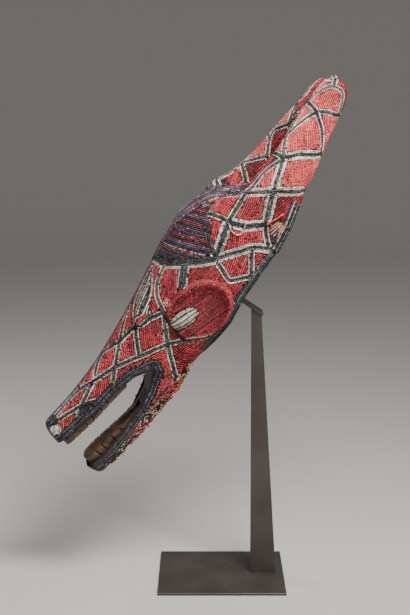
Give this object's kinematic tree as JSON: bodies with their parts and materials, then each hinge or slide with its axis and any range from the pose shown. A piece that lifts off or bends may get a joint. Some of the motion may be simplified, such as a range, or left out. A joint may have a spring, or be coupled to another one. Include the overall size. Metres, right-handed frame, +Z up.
{
  "type": "beaded buffalo mask",
  "caption": "Carved buffalo helmet mask with joined horns and an open toothed mouth, covered with beadwork, on a stand.",
  "frame": {"origin": "centre of the base plate's underside", "axes": "+Z up, +X from the muzzle towards the horn tips, seen from the front along +Y"},
  "size_m": [0.4665, 0.2305, 0.7915],
  "materials": {
    "carved_wood": "dark brown, hand-carved, worn",
    "glass_beads": "strings of small glass beads in red, white, dark blue and green",
    "dark_metal": "dark patinated steel"
  },
  "bodies": {
    "root": {"wooden_head": "carved_wood", "beadwork": "glass_beads", "base_plate": "dark_metal", "post": "dark_metal", "support_strip": "dark_metal"}
  },
  "joints": []
}
